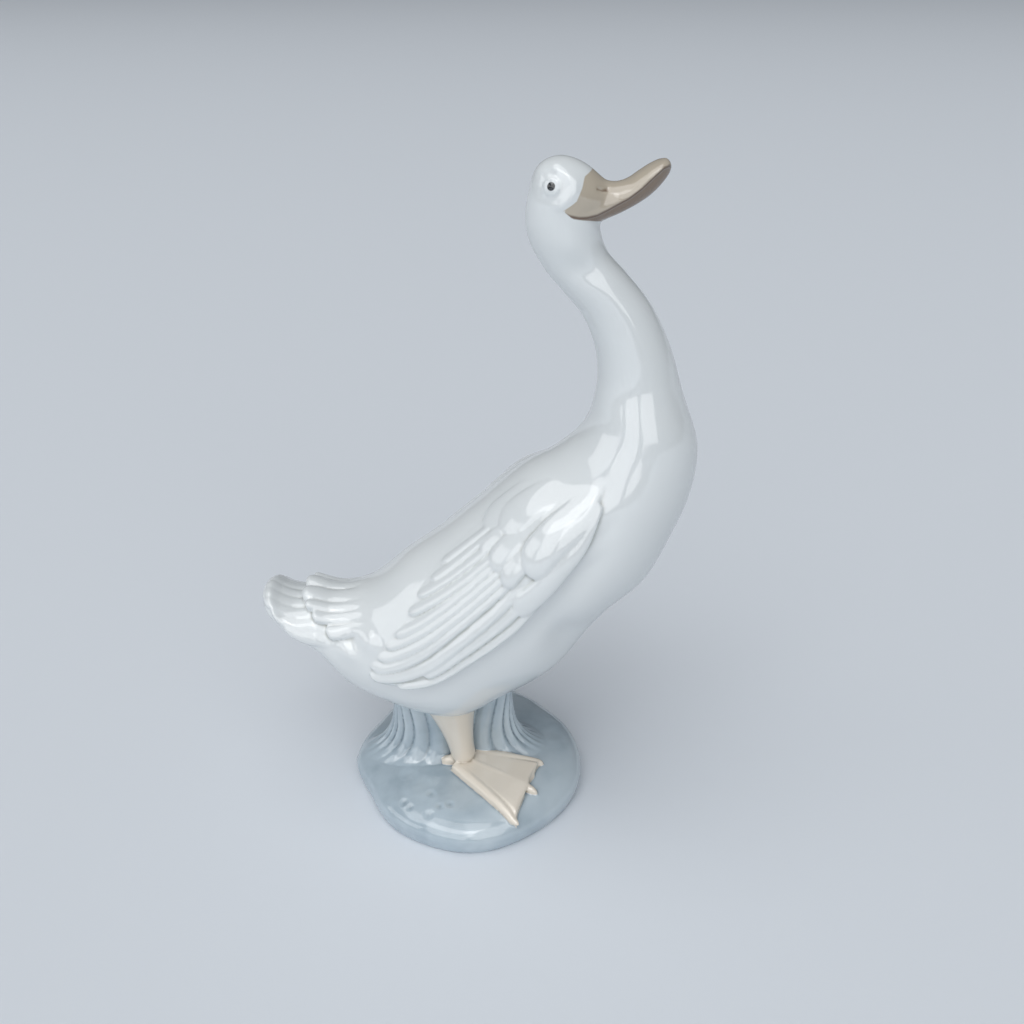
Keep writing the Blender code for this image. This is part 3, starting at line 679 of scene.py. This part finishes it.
clays = {"white": white_clay, "bill": bill_clay, "foot": foot_clay, "grass": grass_clay}
trees = {}
master = bmesh.new()
for name, clay in clays.items():
    bmesh.ops.recalc_face_normals(clay, faces=clay.faces)
    trees[name] = BVHTree.FromBMesh(clay)
    form = bpy.data.meshes.new(name)
    clay.to_mesh(form)
    clay.free()
    master.from_mesh(form)
    bpy.data.meshes.remove(form)
cast = bpy.data.meshes.new("cast")
master.to_mesh(cast)
master.free()
goose = bpy.data.objects.new("porcelain_goose", cast)
bpy.context.scene.collection.objects.link(goose)


def modified(thing, kind, **settings):
    """Give the object a mesh as a modifier makes it."""
    modifier = thing.modifiers.new(kind.lower(), kind)
    for key, value in settings.items():
        setattr(modifier, key, value)
    graph = bpy.context.evaluated_depsgraph_get()
    made = bpy.data.meshes.new_from_object(thing.evaluated_get(graph))
    thing.modifiers.clear()
    thing.data = made


modified(goose, "REMESH", mode="VOXEL", voxel_size=GRAIN)
modified(goose, "SMOOTH", iterations=GLAZE_ROUNDS)


def points_of(mesh):
    """The places of a mesh's vertices, one to a row."""
    flat = np.empty(3 * len(mesh.vertices))
    mesh.vertices.foreach_get("co", flat)
    return flat.reshape(-1, 3)


def normals_of(mesh):
    """The normals at a mesh's vertices, one to a row."""
    flat = np.empty(3 * len(mesh.vertices))
    mesh.vertex_normals.foreach_get("vector", flat)
    return flat.reshape(-1, 3)


def relaxed(mesh, values, rounds):
    """Values at the vertices, each averaged with its neighbours a number of times."""
    ends = np.empty(2 * len(mesh.edges), np.int64)
    mesh.edges.foreach_get("vertices", ends)
    first, second = ends.reshape(-1, 2).T
    count = len(mesh.vertices)
    links = np.bincount(first, minlength=count) + np.bincount(second, minlength=count)
    for _ in range(rounds):
        total = np.zeros_like(values)
        for axis in range(values.shape[1]):
            column = values[:, axis]
            total[:, axis] = np.bincount(first, column[second], count)
            total[:, axis] += np.bincount(second, column[first], count)
        values = (values + total) / (1 + links[:, None])
    return values


# Face
# The same porcelain, worked by hand before it is glazed: the throat is rubbed smooth,
# each eye is a bead inside a raised lid in a shallow socket, the nostril is a slit, and
# a ridge runs from over the eye down along the bill's painted edge.
THROAT = (0.0372, 0.0, 0.1825)
THROAT_REACH = 0.0055
THROAT_ROUNDS = 90
EYE_PLACE = (0.2217, 57)
EYE_RADIUS = 0.00115
EYE_REACH = 0.009
BEAD_RISE = 0.00040
LID_RISE, LID_RADIUS, LID_WIDTH = 0.00022, 0.0018, 0.0005
SOCKET_DEPTH, SOCKET_RADIUS, SOCKET_WIDTH = 0.00028, 0.0030, 0.0013
SOCKET_AHEAD = 0.4
THROUGH_HEAD = -0.003
NOSTRIL_DEPTH, NOSTRIL_WIDTH = 0.0005, 0.0005
RIDGE_RISE, RIDGE_WIDTH = 0.00042, 0.0014
MIDDLE_CLEAR = 0.0015

points, normals = points_of(goose.data), normals_of(goose.data)
at_throat = np.exp(-((np.linalg.norm(points - THROAT, axis=1) / THROAT_REACH) ** 2))
eased = relaxed(goose.data, points, THROAT_ROUNDS)
points += at_throat[:, None] * (eased - points)
lift = np.zeros(len(points))
eyes = []
for side in (1, -1):
    eye = skin(EYE_PLACE[0], side * EYE_PLACE[1])
    outward = (skin(EYE_PLACE[0], side * EYE_PLACE[1], 0.001) - eye).normalized()
    eyes.append(eye)
    off = points - np.array(eye)
    near = np.linalg.norm(off, axis=1)
    forward = np.clip(off[:, 0] / np.maximum(near, 1e-6), -1, 1)
    facing = (off @ np.array(outward)) > THROUGH_HEAD
    socket = -SOCKET_DEPTH * np.exp(-(((near - SOCKET_RADIUS) / SOCKET_WIDTH) ** 2))
    socket *= 1 - SOCKET_AHEAD + SOCKET_AHEAD * forward
    lid = LID_RISE * np.exp(-(((near - LID_RADIUS) / LID_WIDTH) ** 2))
    bead = BEAD_RISE * np.exp(-((near / EYE_RADIUS) ** 2))
    lift += np.where(facing & (near < EYE_REACH), socket + lid + bead, 0)

# Lines on the side of the head, as X and Z of their corners: the slit of the nostril,
# the ridge in front of the eye, and the bill's painted edge, closed round the bill
NOSTRIL = ((0.0362, 0.1932), (0.0374, 0.1927), (0.0386, 0.1927))
RIDGE = (
    (0.0257, 0.1982),
    (0.0279, 0.1965),
    (0.0302, 0.1950),
    (0.0300, 0.1930),
    (0.0288, 0.1911),
    (0.0266, 0.1896),
)
BILL_EDGE = (
    (0.0700, 0.2100),
    (0.0400, 0.1978),
    (0.0345, 0.1972),
    (0.0326, 0.1962),
    (0.0320, 0.1938),
    (0.0306, 0.1906),
    (0.0273, 0.1884),
    (0.0298, 0.1864),
    (0.0344, 0.1855),
    (0.0380, 0.1844),
    (0.0700, 0.1700),
)
plan = points[:, [0, 2]]


def off_line(plan, corners):
    """How far each place in plan lies off a line through the corners."""
    near = np.full(len(plan), np.inf)
    for start, end in zip(corners, corners[1:]):
        start, run = np.array(start), np.array(end) - start
        t = np.clip((plan - start) @ run / (run @ run), 0, 1)
        near = np.minimum(near, np.linalg.norm(plan - start - t[:, None] * run, axis=1))
    return near


on_side = np.clip(np.abs(points[:, 1]) / MIDDLE_CLEAR - 1, 0, 1)
lift -= NOSTRIL_DEPTH * on_side * np.exp(-((off_line(plan, NOSTRIL) / NOSTRIL_WIDTH) ** 2))
lift += RIDGE_RISE * on_side * np.exp(-((off_line(plan, RIDGE) / RIDGE_WIDTH) ** 2))

# Marks on the base
# Fingers and drops of slip left dimples and pits in the soft top of the base, each with
# a low lip round it, and the whole base undulates a little under its glaze.
UNDULATION = 0.00028
UNDULATION_LENGTH = 0.0095
UNDULATION_FADE = 0.004
GROUND_CLEAR = 0.001
TOP_SLOPE = 0.2
TOP_REACH = 0.0004
LIP_RISE, LIP_PLACE, LIP_SHARPNESS = 0.3, 1.6, 3

# X, Y, radius and depth
DIMPLES = (
    (-0.0189, -0.0152, 0.0021, 0.00040),
    (-0.0146, -0.0192, 0.0027, 0.00042),
    (-0.0193, -0.0262, 0.0011, 0.00032),
    (-0.0172, -0.0283, 0.0010, 0.00024),
    (-0.0109, -0.0234, 0.0012, 0.00030),
    (-0.0078, -0.0286, 0.0010, 0.00024),
    (-0.0047, -0.0280, 0.0011, 0.00024),
    (-0.0111, -0.0315, 0.0014, 0.00034),
    (0.0290, 0.0060, 0.0026, 0.00020),
    (-0.0230, 0.0200, 0.0028, 0.00022),
)
on_top = points[:, 2] < BASE_TOP + BASE_MOUND + TOP_REACH
flat_top = (normals[:, 2] > TOP_SLOPE) & on_top
for x, y, radius, depth in DIMPLES:
    near = np.hypot(points[:, 0] - x, points[:, 1] - y) / radius
    lip = LIP_RISE * np.exp(-LIP_SHARPNESS * (near - LIP_PLACE) ** 2)
    lift += np.where(flat_top, depth * (lip - np.exp(-(near**2))), 0)
waves = [noise.noise(Vector(point) / UNDULATION_LENGTH) for point in points]
low_down = np.clip((BASE_TOP + UNDULATION_FADE - points[:, 2]) / UNDULATION_FADE, 0, 1)
lift += UNDULATION * np.array(waves) * low_down * (points[:, 2] > GROUND_CLEAR)
points += normals * lift[:, None]
points[:, 2] = np.maximum(points[:, 2], 0)
goose.data.vertices.foreach_set("co", points.ravel())
goose.data.update()

# How far each place lies below (+) or above (-) the surface round it
HOLLOW_ROUNDS = 14
flat = relaxed(goose.data, points, HOLLOW_ROUNDS)
hollow = ((flat - points) * normals_of(goose.data)).sum(axis=1)
goose.data.attributes.new("hollow", "FLOAT", "POINT")
goose.data.attributes["hollow"].data.foreach_set("value", hollow)
modified(goose, "DECIMATE", ratio=MOST_TRIANGLES / (2 * len(goose.data.polygons)))

# Glaze and paint
# White porcelain with underglaze paint, beige on the bill and legs and clouded blue-grey
# on the grass, under a clear glaze that mirrors lamps with crisp edges. The glaze pools
# in the hollows, which read darker partly from the pooled glaze and partly as painted
# shade, and thins on the ridges. The bill's lower half and mouth line carry painted shade.
# The pooled colours darken the hollows: partly the glaze pooling there, partly painted shade.
WHITE, WHITE_POOLED_AND_SHADED = "DDE2E4", "AEB0AA"
# BEIGE_PAINTED_SHADE and MOUTH_SHADE are painted shade under the upper bill's overhang.
BEIGE, BEIGE_POOLED_AND_SHADED, BEIGE_PAINTED_SHADE, MOUTH_SHADE = "B7AD9D", "75614E", "7E6C5B", "5F4A3A"
CREAM, CREAM_POOLED_AND_SHADED = "E6DDCF", "A5967F"
BLUE, BLUE_DEEP, BLUE_PALE, BLUE_POOLED_AND_SHADED = "B0BFC9", "9EAEB9", "BFCCD4", "5E707C"
EYE_BLACK = "0B1418"

# The glaze's index is about 1.5. A higher one stands for its strong mirroring.
GLAZE_IOR, GLAZE_ROUGHNESS = 1.9, 0.07

# Each pattern's size of spot and its detail
FINE_CLOUD, WIDE_CLOUD, RIPPLE = (0.00833, 3), (0.0222, 3), (0.00286, 2)
RIPPLE_STRENGTH, RIPPLE_DEPTH = 0.25, 0.00006

fields = {}
for name, tree in trees.items():
    fields[name] = np.array([tree.find_nearest(v.co)[3] for v in goose.data.vertices])
for name in ("foot", "grass"):
    others = np.min([fields[other] for other in fields if other != name], axis=0)
    attribute = goose.data.attributes.new(name, "FLOAT", "POINT")
    attribute.data.foreach_set("value", others - fields[name])
points = points_of(goose.data)
plan = points[:, [0, 2]]
inside = np.zeros(len(plan), bool)
for (x, z), (next_x, next_z) in zip(BILL_EDGE, BILL_EDGE[1:] + BILL_EDGE[:1]):
    between = (z > plan[:, 1]) != (next_z > plan[:, 1])
    crossing = x + (plan[:, 1] - z) * (next_x - x) / (next_z - z)
    inside ^= between & (plan[:, 0] < crossing)
painted = np.where(inside, 1, -1) * off_line(plan, BILL_EDGE)
goose.data.attributes.new("bill", "FLOAT", "POINT")
goose.data.attributes["bill"].data.foreach_set("value", painted)
mouth = BASE_TOP + np.interp(plan[:, 0], bill_knots, [row[2] for row in BILL])
goose.data.attributes.new("mouth", "FLOAT", "POINT")
goose.data.attributes["mouth"].data.foreach_set("value", mouth - plan[:, 1])

# The figure stands in the middle of the frame's box, and inside it.
points = points_of(goose.data)
low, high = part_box("goose_figurine")
shift = (low.x + high.x) / 2 - (points[:, 0].min() + points[:, 0].max()) / 2
points[:, 0] += shift
points = np.clip(points, low, high)
goose.data.vertices.foreach_set("co", points.ravel())
goose.data.shade_smooth()
eyes = [eye + Vector((shift, 0, 0)) for eye in eyes]


def linear(hex_colour):
    """An sRGB hex colour as linear red, green, blue and alpha."""
    shades = [int(hex_colour[i : i + 2], 16) / 255 for i in (0, 2, 4)]
    shades = [((c + 0.055) / 1.055) ** 2.4 if c > 0.04045 else c / 12.92 for c in shades]
    return (*shades, 1)


def add(tree, kind, inputs=(), **settings):
    """Add a node, with its settings and with what feeds or fills its inputs."""
    node = tree.nodes.new(kind)
    for key, value in settings.items():
        setattr(node, key, value)
    for key, value in dict(inputs).items():
        if isinstance(value, bpy.types.NodeSocket):
            tree.links.new(value, node.inputs[key])
        else:
            node.inputs[key].default_value = value
    return node


porcelain = bpy.data.materials.new("glazed porcelain")
porcelain.use_nodes = True
nodes = porcelain.node_tree
shader = nodes.nodes["Principled BSDF"]
place = add(nodes, "ShaderNodeTexCoord").outputs["Object"]

values = {}
for name in ("hollow", "mouth", "grass", "foot", "bill"):
    values[name] = add(nodes, "ShaderNodeAttribute", attribute_name=name).outputs["Fac"]
off_mouth = add(nodes, "ShaderNodeMath", {0: values["mouth"]}, operation="ABSOLUTE")
values["off mouth"] = off_mouth.outputs["Value"]
patterns = {"fine cloud": FINE_CLOUD, "wide cloud": WIDE_CLOUD, "ripple": RIPPLE}
for name, (size, detail) in patterns.items():
    inputs = {"Vector": place, "Scale": 1 / size, "Detail": detail}
    values[name] = add(nodes, "ShaderNodeTexNoise", inputs).outputs["Fac"]
for name, eye in zip(("left eye", "right eye"), eyes):
    inputs = {0: place, 1: eye}
    distance = add(nodes, "ShaderNodeVectorMath", inputs, operation="DISTANCE")
    values[name] = distance.outputs["Value"]

# Where each paint or coat lies: the value that it follows, and where that takes it from
# bare to covered
COVERS = {
    # Hollows darkened: pooled glaze, and painted shade where shade falls in them
    "pooled and shaded": ("hollow", 0.00002, 0.00035),
    "thin": ("hollow", -0.00002, -0.00030),
    # Painted shade: the lower bill, under the upper half's overhang, is darkened
    "shaded lower bill": ("mouth", 0, 0.0007),
    # Painted shade: a dark line along the mouth groove under the overhang
    "shaded mouth line": ("off mouth", 0.0007, 0),
    "deep clouds": ("fine cloud", 0.35, 0.75),
    "pale clouds": ("wide cloud", 0.42, 0.72),
    "grass": ("grass", -0.0001, 0.0002),
    "foot": ("foot", -0.0001, 0.0002),
    "bill": ("bill", -0.0001, 0.0002),
    "left eye": ("left eye", 0.00115, 0.00095),
    "right eye": ("right eye", 0.00115, 0.00095),
}
covered = {}
for name, (value, low, high) in COVERS.items():
    inputs = {"Value": values[value], "From Min": low, "From Max": high}
    share = add(nodes, "ShaderNodeMapRange", inputs, interpolation_type="SMOOTHSTEP")
    covered[name] = share.outputs["Result"]

# Each paint, in the order that they lie one over another, with the coats over it
PAINTS = {
    "body": (WHITE, {"pooled and shaded": WHITE_POOLED_AND_SHADED}),
    "grass": (
        BLUE,
        {
            "deep clouds": BLUE_DEEP,
            "pale clouds": BLUE_PALE,
            "thin": BLUE_PALE,
            "pooled and shaded": BLUE_POOLED_AND_SHADED,
        },
    ),
    "foot": (CREAM, {"pooled and shaded": CREAM_POOLED_AND_SHADED}),
    "bill": (
        BEIGE,
        {"pooled and shaded": BEIGE_POOLED_AND_SHADED, "shaded lower bill": BEIGE_PAINTED_SHADE, "shaded mouth line": MOUTH_SHADE},
    ),
    "left eye": (EYE_BLACK, {}),
    "right eye": (EYE_BLACK, {}),
}

# The Mix node's sockets for colours: its share, both colours and the result
SHARE, UNDER, OVER, RESULT = 0, 6, 7, 2
colour = None
for area, (paint, coats) in PAINTS.items():
    paint = linear(paint)
    for cover, coat in coats.items():
        inputs = {SHARE: covered[cover], UNDER: paint, OVER: linear(coat)}
        paint = add(nodes, "ShaderNodeMix", inputs, data_type="RGBA").outputs[RESULT]
    if area in covered:
        inputs = {SHARE: covered[area], UNDER: colour, OVER: paint}
        paint = add(nodes, "ShaderNodeMix", inputs, data_type="RGBA").outputs[RESULT]
    colour = paint
nodes.links.new(colour, shader.inputs["Base Color"])
shader.inputs["IOR"].default_value = GLAZE_IOR
shader.inputs["Roughness"].default_value = GLAZE_ROUGHNESS
inputs = {"Height": values["ripple"], "Strength": RIPPLE_STRENGTH, "Distance": RIPPLE_DEPTH}
ripple = add(nodes, "ShaderNodeBump", inputs)
nodes.links.new(ripple.outputs["Normal"], shader.inputs["Normal"])
goose.data.materials.clear()
goose.data.materials.append(porcelain)
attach(goose, "root")
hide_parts("goose_figurine")

# Setting
# A plain pale floor, soft lamps that reflect as tall bright panes, and a camera at the
# angle of the photograph.
FLOOR_HALF = 20
FLOOR_PALE, SKY_PALE = "DAE0E7", "D3DAE2"
FLOOR_ROUGHNESS = 0.9
SKY_STRENGTH = 0.20
AIMED_AT = Vector((0, 0, 0.1))
OVERHEAD_STRENGTH, OVERHEAD_WIDTH = 1.05, 60
OVERHEAD_TURN = (8, -14)
CAMERA_PLACE = (0.014706, -0.268107, 0.241743)
CAMERA_TILT = 62
LENS = SENSOR = 36

floor_shape = bmesh.new()
bmesh.ops.create_grid(floor_shape, x_segments=1, y_segments=1, size=FLOOR_HALF)
floor_mesh = bpy.data.meshes.new("floor")
floor_shape.to_mesh(floor_mesh)
floor_shape.free()
floor = bpy.data.objects.new("floor", floor_mesh)
bpy.context.scene.collection.objects.link(floor)
matt = bpy.data.materials.new("pale floor")
matt.use_nodes = True
matt_shader = matt.node_tree.nodes["Principled BSDF"]
matt_shader.inputs["Base Color"].default_value = linear(FLOOR_PALE)
matt_shader.inputs["Roughness"].default_value = FLOOR_ROUGHNESS
floor_mesh.materials.append(matt)

world = bpy.data.worlds.new("soft studio")
bpy.context.scene.world = world
world.use_nodes = True
sky = world.node_tree.nodes["Background"]
sky.inputs["Color"].default_value = linear(SKY_PALE)
sky.inputs["Strength"].default_value = SKY_STRENGTH


def lamp(name, bearing, height, distance, size, power):
    """A soft rectangular lamp that shines on the goose, its bearing from -Y toward +X and
    its height in degrees."""
    light = bpy.data.lights.new(name, "AREA")
    light.shape = "RECTANGLE"
    light.size, light.size_y = size
    light.energy = power
    thing = bpy.data.objects.new(name, light)
    bearing, height = math.radians(bearing), math.radians(height)
    level = math.cos(height)
    way = Vector((level * math.sin(bearing), -level * math.cos(bearing), math.sin(height)))
    thing.location = way * distance + AIMED_AT
    thing.rotation_euler = way.to_track_quat("Z", "Y").to_euler()
    thing.visible_camera = False
    bpy.context.scene.collection.objects.link(thing)


lamp("left pane", -22, 38, 10, (6.6, 12), 330)
lamp("right pane", 20, 38, 10, (6.6, 12), 330)
lamp("side strip", -70, 20, 10, (8, 4), 110)

overhead = bpy.data.lights.new("overhead", "SUN")
overhead.energy = OVERHEAD_STRENGTH
overhead.angle = math.radians(OVERHEAD_WIDTH)
overhead_lamp = bpy.data.objects.new("overhead", overhead)
overhead_lamp.rotation_euler = (*map(math.radians, OVERHEAD_TURN), 0)
bpy.context.scene.collection.objects.link(overhead_lamp)

camera_data = bpy.data.cameras.new("camera")
camera_data.lens = LENS
camera_data.sensor_width = SENSOR
camera = bpy.data.objects.new("camera", camera_data)
camera.location = Vector(CAMERA_PLACE) + Vector((shift, 0, 0))
camera.rotation_euler = (math.radians(CAMERA_TILT), 0, 0)
bpy.context.scene.collection.objects.link(camera)
bpy.context.scene.camera = camera
bpy.context.scene.view_settings.view_transform = "Standard"
